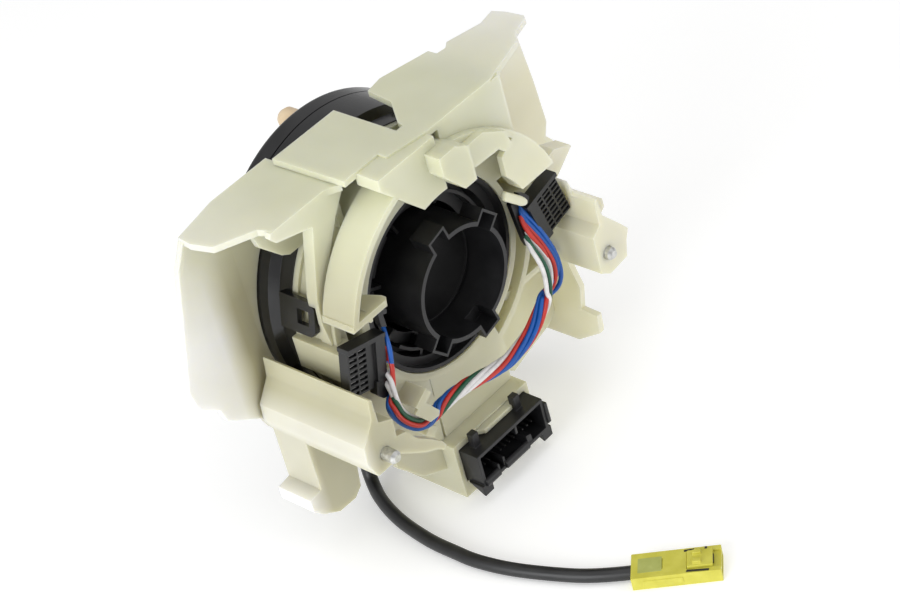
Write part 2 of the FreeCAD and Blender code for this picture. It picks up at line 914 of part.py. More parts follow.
    # Strap over the jumper wires with its root on the collar, and the finger, peg and
    # tab that keep them in place
    strap_front = s.bundle_y - s.wire_spacing - s.wire_diameter - 0.75
    strap = [(-41.5, -26.5), (-36, -33.9), (-31.6, -34.4), (-30.8, -32.5), (-37, -23.5)]
    solids.append(prism("wire_strap", "front", strap, strap_front, 1.3))
    root = [(-40.5, -24), (-38.5, -27), (-30.5, -22.5), (-32.5, -19.5)]
    solids.append(prism("wire_strap_root", "front", root, strap_front, 3 - strap_front))
    finger = [
        (-56.5, -24),
        (-56.5, -31),
        (-54.3, -32.6),
        (-44.3, -40),
        (-39, -42.6),
        (-36.2, -45.5),
        (-34.8, -44),
        (-36.1, -41.5),
        (-41, -36.6),
        (-46, -32.3),
        (-50, -26),
    ]
    solids.append(prism("wire_finger", "front", finger, s.rail_front, 3.4))
    peg = [(-34, -45), (-31, -48), (-28, -45.2), (-31, -42.2)]
    solids.append(prism("wire_peg", "front", peg, s.bundle_y + 3, -s.bundle_y))
    tab = [(-38.8, -9.5), (-36.5, -8.2), (-33.2, -14), (-33, -17), (-35.5, -25.1), (-42, -24), (-41.5, -14)]
    solids.append(prism("wire_tab", "front", tab, -8, 9))

    arch = rod("lip_arch", (0, 0), -21, s.arch_radius, 20.5)
    tools.append(arch)
    housing = fuse("housing_solids", solids)
    tools.append(rod("collar_inside", (0, 0), front - 20, collar_radius, 80))
    tools.append(rod("reel_room", (0, 0), s.web_back, s.reel_radius + 2 * s.seat_gap, 60))
    mouth = rectangle(
        middle - s.harness_width / 2 - s.seat_gap,
        s.harness_top - s.harness_height - s.seat_gap,
        middle + s.harness_width / 2 + s.seat_gap,
        s.harness_top + s.seat_gap,
    )
    tools.append(prism("harness_seat", "front", mouth, s.harness_front - 1, s.harness_depth + 1))
    for side, x, tip in (("right", s.screw_x, s.right_screw_tip), ("left", -s.screw_x, s.left_screw_tip)):
        head = tip + s.screw_length
        tools.append(rod(f"{side}_screw_hole", (x, s.screw_z), s.rail_front - 1, s.screw_radius + 0.15, 60))
        tools.append(rod(f"{side}_screw_well", (x, s.screw_z), head, s.screw_head_radius + 0.5, 60))
    thick = s.latch_thickness + 2 * s.seat_gap
    high = s.latch_height / 2 + s.seat_gap
    for side, sign, x in (
        ("left", -1, -s.latch_outer - s.seat_gap),
        ("right", 1, s.latch_outer + s.seat_gap - thick),
    ):
        opening = rectangle(s.latch_front - 1, -high, s.latch_front + 59, high)
        room = prism(f"{side}_latch_room", "side", opening, x, thick)
        tools.append(turned(room, sign * s.latch_turn.number))
    return cut("switch_housing", housing, tools)


node(switch_housing(), "switch_housing")


# Column screws: captive machine screws, waisted where they float in the rails, whose
# threaded tips stand out towards the column

def screw(name, x, tip):
    """One pan-head screw along Y: cone, thread, waist and recessed head."""
    cone_depth = 1.2
    thread_start = tip + cone_depth
    head_start = tip + s.screw_length
    centre = (x, s.screw_z)
    thread = rod(f"{name}_thread", centre, thread_start, s.screw_radius, s.rail_front - thread_start)
    shank = head_start - thread_start
    waist = rod(f"{name}_waist", centre, thread_start, s.screw_waist_radius, shank)
    head = rod(f"{name}_head", centre, head_start, s.screw_head_radius, s.screw_head_depth)
    cone = doc.addObject("Part::Cone", f"{name}_cone")
    bind(cone, "Radius1", s.screw_radius - 1.0)
    bind(cone, "Radius2", s.screw_radius)
    bind(cone, "Height", cone_depth)
    place(cone, (x, tip, s.screw_z), ALONG_Y)
    recess = rod(f"{name}_recess", centre, head_start + 1, 1.6, s.screw_head_depth)
    return cut(name, fuse(f"{name}_blank", [thread, waist, head, cone]), [recess])


node(screw("left_column_screw", -s.screw_x, s.left_screw_tip), "left_column_screw")
node(screw("right_column_screw", s.screw_x, s.right_screw_tip), "right_column_screw")


# Stalk connectors: thin headers beside the bore with rows of spring contacts, each with
# a hood over its inner edge where the jumper wires are crimped

def placed(solid, point, turn):
    """Puts a finished solid, drawn about its own origin, in its place."""
    place(solid, point, turn)
    return solid


def contact_places(columns, rows, start):
    """Centres (x, z) of the contact slots, across and down from the first column."""
    column_pitch = s.contact_slot_width + 0.8
    return [
        (start + column_pitch * c, s.contact_pitch * (r - (rows - 1) / 2) - 0.8)
        for c in range(columns)
        for r in range(rows)
    ]


def stalk_connector(side, sign, z, columns, start):
    """One header with its contacts, leaning in at the top."""
    width = s.connector_width
    height = s.connector_height
    depth = s.connector_depth
    lean = FreeCAD.Rotation(FreeCAD.Vector(0, 1, 0), -s.connector_lean.number * sign)
    centre = (sign * s.connector_x, s.connector_front, z)
    block = box(f"{side}_header_block", (-width / 2, 0, -height / 2), (width, depth, height))
    brow = box(
        f"{side}_header_brow",
        (-width / 2 - 0.5, -s.post_step, height / 2 - 1.4),
        (width + 1, depth + s.post_step, 1.8),
    )
    inner = -width / 2 if sign > 0 else width / 2 - s.post_width
    post = box(
        f"{side}_header_post",
        (inner, -s.post_step, -height / 2),
        (s.post_width, s.post_step + 1, height - 0.5),
    )
    slots = []
    blades = []
    for index, (x, level) in enumerate(contact_places(columns, 8, start)):
        corner = (x - s.contact_slot_width / 2, -1, level - s.contact_slot_height / 2)
        opening = (s.contact_slot_width, s.contact_slot_depth + 1, s.contact_slot_height)
        slots.append(box(f"{side}_contact_slot_{index}", corner, opening))
        corner = (x - s.contact_slot_width / 2 + 0.5, 1, level - s.contact_blade / 2)
        blade = (s.contact_slot_width - 1, s.contact_slot_depth - 1, s.contact_blade)
        blades.append(box(f"{side}_contact_{index}", corner, blade))
    header = cut(f"{side}_header", fuse(f"{side}_header_solid", [block, brow, post]), slots)
    contacts = fuse(f"{side}_contacts", blades)
    node(placed(header, centre, lean), f"{side}_stalk_connector")
    node(placed(contacts, centre, lean), f"{side}_stalk_contacts")


def wire_hood(side, x, z):
    """The crimp hood at the inner top corner of one header."""
    post_front = s.connector_front - s.post_step
    corner = (x, post_front - s.hood_depth, z)
    hood = box(f"{side}_hood", corner, (s.hood_width, s.hood_depth, s.hood_height))
    return node(hood, f"{side}_wire_hood")


stalk_connector("left", -1, s.left_connector_z, 2, -5.9)
stalk_connector("right", 1, s.right_connector_z, 3, -2.6)
wire_hood("left", -41.5, 2)
wire_hood("right", 34.2, 1)


# Cords: round insulation along a route of straight runs with tangent arcs between them

def route_wire(points):
    """Straight runs joined by arcs whose size follows the shorter run at each corner."""
    edges = []
    radii = []
    tail = points[0]
    for before, corner, after in zip(points, points[1:], points[2:]):
        inward = (before - corner).normalize()
        outward = (after - corner).normalize()
        half_turn = (math.pi - inward.getAngle(outward)) / 2
        reach = 0.45 * min((before - corner).Length, (after - corner).Length)
        radii.append(reach / math.tan(half_turn))
        first = corner + inward * reach
        last = corner + outward * reach
        bisector = (inward + outward).normalize()
        centre_distance = math.hypot(reach, radii[-1])
        middle = corner + bisector * (centre_distance - radii[-1])
        edges.append(Part.LineSegment(tail, first).toShape())
        edges.append(Part.Arc(first, middle, last).toShape())
        tail = last
    edges.append(Part.LineSegment(tail, points[-1]).toShape())
    return Part.Wire(edges), radii


def cord(name, points, diameter):
    """A cord of one diameter along its route."""
    path, radii = route_wire(points)
    start = FreeCAD.Placement(points[0], FreeCAD.Rotation(FreeCAD.Vector(0, 0, 1), points[1] - points[0]))
    section = Part.Circle(FreeCAD.Vector(), FreeCAD.Vector(0, 0, 1), diameter / 2).toShape()
    section.Placement = start
    tube = path.makePipeShell([Part.Wire([section])], True, False)
    solid = doc.addObject("Part::Feature", name)
    solid.Shape = tube
    expected = math.pi * diameter ** 2 / 4 * path.Length
    print(
        f"{name}: length {path.Length:.1f}, least radius {min(radii):.1f}, "
        f"volume {tube.Volume:.0f} of {expected:.0f}"
    )
    return node(solid, name)


# Jumper wires: seven strands in one bundle under the bore, from hood to hood

BUNDLE_ROUTE = [
    (-38, 3.5),
    (-42.5, -4),
    (-47, -13),
    (-47.5, -23),
    (-42, -32),
    (-33.5, -38),
    (-22, -40.2),
    (-6, -43),
    (10, -43.2),
    (22, -40.5),
    (32, -36),
    (40, -29.5),
    (43.5, -20),
    (42.5, -10),
    (39, -3),
    (35.5, 3),
]
STRANDS = [
    ("white", 0, 0),
    ("blue_outer", 1, 0),
    ("blue_inner", 1, 60),
    ("red_inner", 1, 120),
    ("green", 1, 180),
    ("white_inner", 1, 240),
    ("red_outer", 1, 300),
]


def parallel_route(points, shift, level):
    """The route beside another at a constant distance, in the same upright plane."""
    headings = []
    for (x0, z0), (x1, z1) in zip(points, points[1:]):
        length = math.hypot(x1 - x0, z1 - z0)
        headings.append(((z1 - z0) / length, (x0 - x1) / length))
    normals = [headings[0]] + headings + [headings[-1]]
    route = []
    for (x, z), (ax, az), (bx, bz) in zip(points, normals, normals[1:]):
        grow = shift / (1 + ax * bx + az * bz)
        route.append(FreeCAD.Vector(x + grow * (ax + bx), level, z + grow * (az + bz)))
    return route


for colour, ring, clock in STRANDS:
    offset = ring * s.wire_spacing.number
    across = offset * math.cos(math.radians(clock))
    level = s.bundle_y.number + offset * math.sin(math.radians(clock))
    cord(f"wire_{colour}", parallel_route(BUNDLE_ROUTE, across, level), s.wire_diameter.number)


# Harness connector: the black header below the bore that takes the column's plug

def harness_connector():
    half = s.harness_width / 2
    bottom = s.harness_top - s.harness_height
    middle = s.harness_x
    shell = box(
        "harness_shell",
        (middle - half, s.harness_front, bottom),
        (s.harness_width, s.harness_depth, s.harness_height),
    )
    solids = [shell]
    for index, x in enumerate((middle - half - 1, middle + half - 4)):
        tab = [(s.harness_front, bottom - 3.5), (s.harness_front, bottom + 1), (-6, bottom + 1)]
        solids.append(prism(f"harness_tab_{index}", "side", tab, x, 5))
    for index, x in enumerate((middle - 13, middle + 10)):
        corner = (x - 1.6, s.harness_front + 4, s.harness_top - 1)
        solids.append(box(f"harness_post_{index}", corner, (3.2, 3, 7)))
    mouth = (
        s.harness_width - 2 * s.harness_wall,
        s.harness_depth - 3,
        s.harness_height - 2 * s.harness_wall,
    )
    room = box(
        "harness_mouth", (middle - half + s.harness_wall, s.harness_front - 1, bottom + s.harness_wall), mouth
    )
    divider = box(
        "harness_divider",
        (middle + 2.6, s.harness_front + 0.6, s.harness_top - s.harness_wall - 4),
        (1.2, s.harness_depth - 3.6, 4),
    )
    return fuse("harness_connector", [cut("harness_block", fuse("harness_solid", solids), [room]), divider])


node(harness_connector(), "harness_connector")
harness_pins = [
    (s.harness_x + x, s.harness_top - s.harness_height / 2 + level)
    for level in (-2.6, 2.6)
    for x in (-14.5, -12, -9.5, -3, -0.5, 2, 4.5, 7, 9.5, 12, 14.5)
]
pin_floor = s.harness_front + s.harness_depth - 4
node(pin_group("harness_pins", harness_pins, pin_floor - 6.5, 6.5, s.pin_size), "harness_pins")


# Airbag lead: a sheathed lead from the reel's outlet down to the floor in front

LEAD_ROUTE = [
    (-29, 36, -50),
    (-29, 36, -62.6),
    (-30.9, 31.4, -74.3),
    (-34.4, 23.1, -83.3),
    (-39, 12, -88.2),
    (-42.9, -1.5, -88.2),
    (-44.6, -15.5, -88.2),
    (-44.3, -29.5, -88.2),
    (-41.4, -44, -88.2),
    (-35.8, -59.5, -88.2),
    (-29.4, -73.8, -88.2),
    (-21.5, -84.1, -88.2),
]
cord("airbag_lead", [FreeCAD.Vector(p) for p in LEAD_ROUTE], s.lead_diameter.number)


# Airbag plug: a flat yellow plug at the lead's end, with a lock that slides forward

def plug_frame(solid):
    """Puts a part of the plug on the floor in line with the lead."""
    turn = FreeCAD.Rotation(FreeCAD.Vector(0, 0, 1), s.plug_turn.number)
    return placed(solid, (s.plug_x, s.plug_y, s.lead_level), turn)


def plug_body():
    length = s.plug_length
    half = s.plug_width / 2
    deep = s.plug_height / 2
    shell = box("plug_shell", (0, -half, -deep), (length, s.plug_width, s.plug_height))
    ribs = []
    for index, side in enumerate((-1, 1)):
        edge = side * (half - 0.2)
        ribs.append(box(f"plug_rib_{index}", (4, edge - 0.5, -1.2), (14, 1.0, 2.4)))
    lock_start = length - s.lock_length - s.lock_travel - 1
    room = box(
        "lock_room",
        (lock_start, -s.lock_width / 2 - s.lock_gap, deep - s.lock_height / 2),
        (s.lock_length + s.lock_travel + 2, s.lock_width + 2 * s.lock_gap, s.lock_height),
    )
    mouth = box("plug_mouth", (length - 6, -half + 1.2, -deep + 1), (7, s.plug_width - 2.4, 1.8))
    recess = box("plug_recess", (6, -2.6, deep - 0.4), (5.2, 5.2, 1))
    eye = doc.addObject("Part::Cylinder", "plug_eye")
    bind(eye, "Radius", 0.6)
    bind(eye, "Height", 3)
    place(eye, (8.6, 0, deep - 1.6))
    return cut("plug_solid", fuse("plug_block", [shell] + ribs), [room, mouth, recess, eye])


def plug_lock():
    start = s.plug_length - s.lock_length - s.lock_travel - 1 + 0.2
    base = s.plug_height / 2 - s.lock_height / 2 + s.lock_gap
    slide = box(
        "lock_slide",
        (start, -s.lock_width / 2, base),
        (s.lock_length, s.lock_width, s.lock_height - s.lock_gap),
    )
    bumps = []
    for index, y in enumerate((-2.2, 2.2)):
        bumps.append(box(f"lock_bump_{index}", (start + 2, y - 0.9, base), (3, 1.8, s.lock_height + 1)))
    return fuse("lock_solid", [slide] + bumps)


node(plug_frame(plug_body()), "plug_body")
node(plug_frame(plug_lock()), "plug_lock")

doc.recompute()

# Every object has to be sound before a file is written
for obj in doc.Objects:
    if "Invalid" in obj.State or "Error" in obj.State:
        raise RuntimeError(f"{obj.Name} failed: {obj.State}")
os.makedirs("parts", exist_ok=True)
for piece in NODES:
    shape = piece.Shape
    if shape.isNull() or not shape.isValid():
        raise RuntimeError(f"{piece.Label} has no sound shape")
for piece in NODES:
    piece.Shape.exportStep(f"parts/{piece.Label}.step")
    print(f"{piece.Label}: {len(piece.Shape.Solids)} solid, {piece.Shape.Volume:.0f} mm3")
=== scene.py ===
# A steering clock spring: the contact reel behind a steering wheel, in the nylon housing that
# carries the column switches. Metres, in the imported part's own frame: Y is the column's axis,
# the column side faces -Y and +Z is up.
import math

import bmesh
import bpy
from mathutils import Matrix, Vector


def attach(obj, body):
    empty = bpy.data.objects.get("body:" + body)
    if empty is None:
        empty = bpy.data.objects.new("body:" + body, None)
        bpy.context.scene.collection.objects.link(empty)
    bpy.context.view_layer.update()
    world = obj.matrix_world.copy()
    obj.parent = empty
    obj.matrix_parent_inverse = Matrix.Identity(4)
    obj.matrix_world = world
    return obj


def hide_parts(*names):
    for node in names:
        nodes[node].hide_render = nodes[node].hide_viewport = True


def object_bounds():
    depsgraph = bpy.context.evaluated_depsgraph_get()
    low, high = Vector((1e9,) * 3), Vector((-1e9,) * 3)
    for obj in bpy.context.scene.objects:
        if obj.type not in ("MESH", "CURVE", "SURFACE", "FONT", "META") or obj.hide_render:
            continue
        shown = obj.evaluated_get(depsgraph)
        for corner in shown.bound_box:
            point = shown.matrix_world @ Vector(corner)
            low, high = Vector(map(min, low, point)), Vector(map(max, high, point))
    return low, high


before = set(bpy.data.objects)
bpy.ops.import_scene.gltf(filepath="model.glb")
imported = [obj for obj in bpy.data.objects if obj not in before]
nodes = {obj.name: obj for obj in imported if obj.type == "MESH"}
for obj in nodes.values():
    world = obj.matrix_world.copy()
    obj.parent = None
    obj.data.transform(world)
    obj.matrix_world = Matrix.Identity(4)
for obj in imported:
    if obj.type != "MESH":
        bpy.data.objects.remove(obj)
cad_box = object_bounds()

# Bench, light and camera
# The part rests on a plain white bench. Broad soft panels light it from above, from the left
# and from the right, and the camera looks down on the column side from the front left.
bench_level = cad_box[0].z
bench_reach = 3.0
bench_mesh = bpy.data.meshes.new("bench")
bench_mesh.from_pydata(
    [
        (-bench_reach, -bench_reach, bench_level),
        (bench_reach, -bench_reach, bench_level),
        (bench_reach, bench_reach, bench_level),
        (-bench_reach, bench_reach, bench_level),
    ],
    [],
    [(0, 1, 2, 3)],
)
bench = bpy.data.objects.new("bench", bench_mesh)
bpy.context.scene.collection.objects.link(bench)


def material(name, colour, roughness):
    """A new node material; returns it with its node tree and its main shader."""
    made = bpy.data.materials.new(name)
    made.use_nodes = True
    shader = made.node_tree.nodes["Principled BSDF"]
    shader.inputs["Base Color"].default_value = (*colour, 1)
    shader.inputs["Roughness"].default_value = roughness
    return made, made.node_tree, shader


def cloud(tree, scale, detail=3.0):
    """Noise laid through the piece by its place in the part, scale waves to the metre."""
    place = tree.nodes.new("ShaderNodeTexCoord")
    noise = tree.nodes.new("ShaderNodeTexNoise")
    noise.inputs["Scale"].default_value = scale
    noise.inputs["Detail"].default_value = detail
    tree.links.new(place.outputs["Object"], noise.inputs["Vector"])
    return noise.outputs["Fac"]


def ramp(tree, value, stops):
    """Colours along a value: stops are (place, colour)."""
    node = tree.nodes.new("ShaderNodeValToRGB")
    ends = node.color_ramp.elements
    for end, (place, colour) in zip(ends, (stops[0], stops[-1])):
        end.position, end.color = place, (*colour, 1)
    for place, colour in stops[1:-1]:
        ends.new(place).color = (*colour, 1)
    tree.links.new(value, node.inputs["Fac"])
    return node.outputs["Color"]


bench_glow = 0.25
bench_paint, bench_tree, bench_shader = material("bench_paint", (0.93, 0.93, 0.93), 0.6)
bench_tree.links.new(
    ramp(
        bench_tree,
        cloud(bench_tree, 3.0),
        [(0.3, (0.92, 0.92, 0.92)), (0.7, (0.94, 0.94, 0.94))],
    ),
    bench_shader.inputs["Base Color"],
)
bench_shader.inputs["Emission Color"].default_value = (1, 1, 1, 1)
bench_shader.inputs["Emission Strength"].default_value = bench_glow
bench.data.materials.append(bench_paint)

room_light = 0.55
world = bpy.data.worlds.new("studio")
world.use_nodes = True
room = world.node_tree.nodes["Background"]
room.inputs["Color"].default_value = (1, 1, 1, 1)
room.inputs["Strength"].default_value = room_light
bpy.context.scene.world = world
bpy.context.scene.view_settings.view_transform = "Standard"

# name, place, width, power, colour
soft_panels = [
    ("overhead_panel", (-0.15, -0.1, 1.1), 1.0, 3.0, (1.0, 1.0, 0.98)),
    ("left_panel", (-1.2, -0.2, 0.35), 0.8, 10.0, (0.97, 0.99, 1.0)),
    ("right_panel", (0.6, -1.0, 0.5), 0.9, 3.0, (1.0, 1.0, 1.0)),
]
for name, place, width, power, colour in soft_panels:
    lamp = bpy.data.lights.new(name, "AREA")
    lamp.shape = "SQUARE"
    lamp.size = width
    lamp.energy = power
    lamp.color = colour
    panel = bpy.data.objects.new(name, lamp)
    panel.location = place
    panel.rotation_mode = "QUATERNION"
    panel.rotation_quaternion = (-Vector(place)).to_track_quat("-Z", "Y")
    bpy.context.scene.collection.objects.link(panel)

focal_length = 110.13
sensor_width = 36
lens_data = bpy.data.cameras.new("camera")
lens_data.lens = focal_length
lens_data.sensor_width = sensor_width
camera = bpy.data.objects.new("camera", lens_data)
camera_place = (-0.4897, -0.6131, 0.5622)
camera_right = Vector((0.6501, -0.7272, -0.2204))
camera_up = Vector((0.5683, 0.2729, 0.7762))
camera_back = Vector((-0.5043, -0.6299, 0.5907))
facing = Matrix((camera_right, camera_up, camera_back)).transposed()
camera.matrix_world = Matrix.Translation(camera_place) @ facing.to_4x4()
bpy.context.scene.collection.objects.link(camera)
bpy.context.scene.camera = camera

# Airbag lead
# The two-core lead of the driver's airbag leaves the reel's outlet, drops to the bench and runs
# out to its plug. A black sheath 5.2 mm thick covers its cores.
lead_route = [
    (-0.0290, 0.0360, -0.0500),
    (-0.0290, 0.0362, -0.0626),
    (-0.0292, 0.0364, -0.0765),
    (-0.0306, 0.0346, -0.0856),
    (-0.0336, 0.0296, -0.0882),
    (-0.0364, 0.0244, -0.0882),
    (-0.0393, 0.0172, -0.0882),
    (-0.0419, 0.0084, -0.0882),
    (-0.0436, -0.0019, -0.0882),
    (-0.0445, -0.0110, -0.0882),
    (-0.0443, -0.0203, -0.0882),
    (-0.0443, -0.0295, -0.0882),
    (-0.0414, -0.0440, -0.0882),
    (-0.0358, -0.0595, -0.0882),
    (-0.0294, -0.0738, -0.0882),
    (-0.0215, -0.0841, -0.0882),
]
lead_diameter = 0.0052


def roughen(tree, shader, value, low, high):
    """Lets the finish run from low to high roughness with a value."""
    node = tree.nodes.new("ShaderNodeMapRange")
    node.inputs["To Min"].default_value = low
    node.inputs["To Max"].default_value = high
    tree.links.new(value, node.inputs["Value"])
    tree.links.new(node.outputs["Result"], shader.inputs["Roughness"])


def grain(tree, shader, value, strength, depth):
    """Raises a value as fine relief in the surface, depth in metres."""
    node = tree.nodes.new("ShaderNodeBump")
    node.inputs["Strength"].default_value = strength
    node.inputs["Distance"].default_value = depth
    tree.links.new(value, node.inputs["Height"])
    tree.links.new(node.outputs["Normal"], shader.inputs["Normal"])


def mottled(name, scale, dark, light, smooth, rough):
    """A material whose colour and polish drift in clouds, scale waves to the metre.

    Returns it with its node tree and its main shader.
    """
    made, tree, shader = material(name, light, rough)
    drift = cloud(tree, scale)
    tree.links.new(ramp(tree, drift, [(0.3, dark), (0.7, light)]), shader.inputs["Base Color"])
    roughen(tree, shader, drift, smooth, rough)
    return made, tree, shader


def flex(name, route, diameter, finish):
    """A round cord whose centreline is one smooth spline on the route's points."""
    line = bpy.data.curves.new(name, "CURVE")
    line.dimensions = "3D"
    line.bevel_depth = diameter / 2
    line.bevel_resolution = 4
    line.resolution_u = 8
    line.use_fill_caps = True
    spline = line.splines.new("NURBS")
    spline.points.add(len(route) - 1)
    for point, place in zip(spline.points, route):
        point.co = (*place, 1)
    spline.order_u = 3
    spline.use_endpoint_u = True
    line.materials.append(finish)
    piece = bpy.data.objects.new(name, line)
    bpy.context.scene.collection.objects.link(piece)
    return piece


sheath_vinyl, sheath_tree, sheath_shader = mottled(
    "sheath_vinyl",
    scale=120.0,
    dark=(0.008, 0.008, 0.009),
    light=(0.018, 0.018, 0.019),
    smooth=0.32,
    rough=0.5,
)
grain(sheath_tree, sheath_shader, cloud(sheath_tree, 1500.0), strength=0.15, depth=0.0001)

lead = flex("lead_sheath", lead_route, lead_diameter, sheath_vinyl)
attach(lead, "switch_body")
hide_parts("airbag_lead")

# Switch housing
# The body that everything is built on is one moulding in natural nylon: cream, waxy and a
# little clear where it is thin, with the edges softened by the mould.
nylon, nylon_tree, nylon_shader = material("natural_nylon", (0.62, 0.61, 0.45), 0.42)
nylon_flow = ramp(
    nylon_tree,
    cloud(nylon_tree, 26.0, detail=2.5),
    [
        (0.30, (0.820, 0.810, 0.770)),
        (0.50, (0.875, 0.865, 0.840)),
        (0.70, (0.910, 0.900, 0.890)),
    ],
)
nylon_place = nylon_tree.nodes.new("ShaderNodeTexCoord")
nylon_axes = nylon_tree.nodes.new("ShaderNodeSeparateXYZ")
nylon_tree.links.new(nylon_place.outputs["Object"], nylon_axes.inputs["Vector"])


def nylon_share(axis, start, end):
    """How far a place is along an axis of the part, from 0 at start to 1 at end, in metres."""
    share = nylon_tree.nodes.new("ShaderNodeMapRange")
    share.inputs["From Min"].default_value = start
    share.inputs["From Max"].default_value = end
    nylon_tree.links.new(nylon_axes.outputs[axis], share.inputs["Value"])
    return share.outputs["Result"]


# The walls in front of the black reel are coloured darker than the free panels at both sides.
# This is partly because the nylon is a little clear over the black reel, and partly painted
# shade.
# The free left panel is painted near white, a painted sheen of the left lamp, and the low walls
# are painted darker than the roofs, as painted shade.
nylon_across = nylon_share("X", start=-0.090, end=0.070)
wall_tone_and_painted_light = ramp(
    nylon_tree,
    nylon_across,
    [
        (0.00, (0.97, 0.97, 0.97)),
        (0.09, (0.97, 0.97, 0.97)),
        (0.16, (0.54, 0.52, 0.37)),
        (0.38, (0.54, 0.53, 0.40)),
        (0.60, (0.70, 0.69, 0.51)),
        (0.85, (0.80, 0.79, 0.60)),
        (1.00, (0.84, 0.82, 0.68)),
    ],
)
# Painted light on the roofs: darker in the middle, lighter towards both ends.
roof_tone_and_painted_light = ramp(
    nylon_tree,
    nylon_across,
    [
        (0.00, (0.84, 0.84, 0.78)),
        (0.30, (0.73, 0.74, 0.57)),
        (0.75, (0.73, 0.74, 0.57)),
        (0.95, (0.88, 0.88, 0.83)),
    ],
)
# Mixed by height, so the low walls take the painted shade and the roofs the lighter painted
# colour.
nylon_tone_and_painted_light = nylon_tree.nodes.new("ShaderNodeMixRGB")
nylon_tree.links.new(nylon_share("Z", start=0.022, end=0.048), nylon_tone_and_painted_light.inputs["Fac"])
nylon_tree.links.new(wall_tone_and_painted_light, nylon_tone_and_painted_light.inputs["Color1"])
nylon_tree.links.new(roof_tone_and_painted_light, nylon_tone_and_painted_light.inputs["Color2"])
nylon_colour = nylon_tree.nodes.new("ShaderNodeMixRGB")
nylon_colour.blend_type = "MULTIPLY"
nylon_colour.inputs["Fac"].default_value = 1.0
nylon_tree.links.new(nylon_flow, nylon_colour.inputs["Color1"])
nylon_tree.links.new(nylon_tone_and_painted_light.outputs["Color"], nylon_colour.inputs["Color2"])
nylon_tree.links.new(nylon_colour.outputs["Color"], nylon_shader.inputs["Base Color"])
roughen(nylon_tree, nylon_shader, cloud(nylon_tree, 60.0), low=0.34, high=0.5)
grain(nylon_tree, nylon_shader, cloud(nylon_tree, 320.0), strength=0.12, depth=0.0004)
nylon_shader.inputs["Subsurface Weight"].default_value = 0.6
nylon_shader.inputs["Subsurface Radius"].default_value = (1.0, 0.92, 0.6)
nylon_shader.inputs["Subsurface Scale"].default_value = 0.006
nylon_shader.inputs["IOR"].default_value = 1.5


def dress(name, finish):
    """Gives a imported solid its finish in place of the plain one."""
    slots = nodes[name].data.materials
    slots.clear()
    slots.append(finish)


def moulded(name, shape, body, finish):
    """Makes a piece of the scene from a shape, riding on a body in a finish."""
    mesh = bpy.data.meshes.new(name)
    shape.to_mesh(mesh)
    shape.free()
    mesh.materials.append(finish)
    piece = bpy.data.objects.new(name, mesh)
    bpy.context.scene.collection.objects.link(piece)
    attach(piece, body)
    return piece


# An edge sharper than sharp_corner is rounded off, and faces that meet flatter than flat_corner
# become one face
sharp_corner = math.radians(35)
flat_corner = math.radians(1.5)
weld_distance = 0.000005
millimetre = 0.001


def round_edges(piece, width):
    """Rounds the sharp edges of a piece off, as a mould does."""
    for face in piece.data.polygons:
        face.use_smooth = True
    rounding = piece.modifiers.new("rounded_edges", "BEVEL")
    rounding.width = width
    rounding.segments = 2
    rounding.limit_method = "ANGLE"
    rounding.angle_limit = sharp_corner
    rounding.harden_normals = False
    even = piece.modifiers.new("even_shading", "WEIGHTED_NORMAL")
    even.keep_sharp = False


def softened(name, source, body, finish, width):
    """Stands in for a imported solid, with its sharp edges rounded off."""
    shape = bmesh.new()
    shape.from_mesh(nodes[source].data)
    bmesh.ops.remove_doubles(shape, verts=shape.verts, dist=weld_distance)
    bmesh.ops.dissolve_limit(
        shape,
        angle_limit=flat_corner,
        verts=shape.verts,
        edges=shape.edges,
    )
    piece = moulded(name, shape, body, finish)
    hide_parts(source)
    round_edges(piece, width)
    dress(source, finish)


def prism(name, outline, axis, start, end, finish, slot, width):
    """A moulded detail of the switch body: an outline in millimetres drawn along an axis."""
    spread = {
        "x": lambda a, b, depth: (depth, a, b),
        "y": lambda a, b, depth: (a, depth, b),
        "z": lambda a, b, depth: (a, b, depth),
    }[axis]
    shape = bmesh.new()
    ends = [
        [shape.verts.new(Vector(spread(a, b, depth)) * millimetre) for a, b in outline]
        for depth in (start, end)
    ]
    shape.faces.new(ends[0])
    shape.faces.new(reversed(ends[1]))
    for index in range(len(outline)):
        after = (index + 1) % len(outline)
        shape.faces.new((ends[0][index], ends[1][index], ends[1][after], ends[0][after]))
    bmesh.ops.recalc_face_normals(shape, faces=shape.faces)
    piece = moulded(name, shape, "switch_body", finish)
    round_edges(piece, width)
    return piece


softened("housing_moulding", "switch_housing", "switch_body", nylon, width=0.0009)

# A rounded finger of the moulding holds the wires down beside the right connector, a small lug
# wedges the left connector against its post, and a brow stands over the harness connector.
wire_clip = [
    (29.6, 19.0), (36.6, 12.2), (38.4, 9.8), (38.3, 8.2), (36.8, 7.8), (35.0, 8.9), (27.8, 16.0),
]
wedge = [(-44.2, 19.4), (-41.8, 18.2), (-42.0, 13.6), (-43.4, 13.6), (-44.6, 16.0)]
harness_brow = [(-7.6, -5.4), (-7.6, -3.8), (12.2, -3.8), (12.2, -7.6), (-5.6, -7.6)]
# name, outline, axis, start and end along it in millimetres, width of the rounded edges
housing_details = [
    ("right_wire_clip", wire_clip, "y", -11.4, -8.8, 0.0008),
    ("left_wedge", wedge, "y", -11.2, -8.0, 0.0003),
    ("harness_brow", harness_brow, "z", -67.5, -65.4, 0.0004),
]
for name, outline, axis, start, end, width in housing_details:
    prism(name, outline, axis, start, end, nylon, "nylon", width)

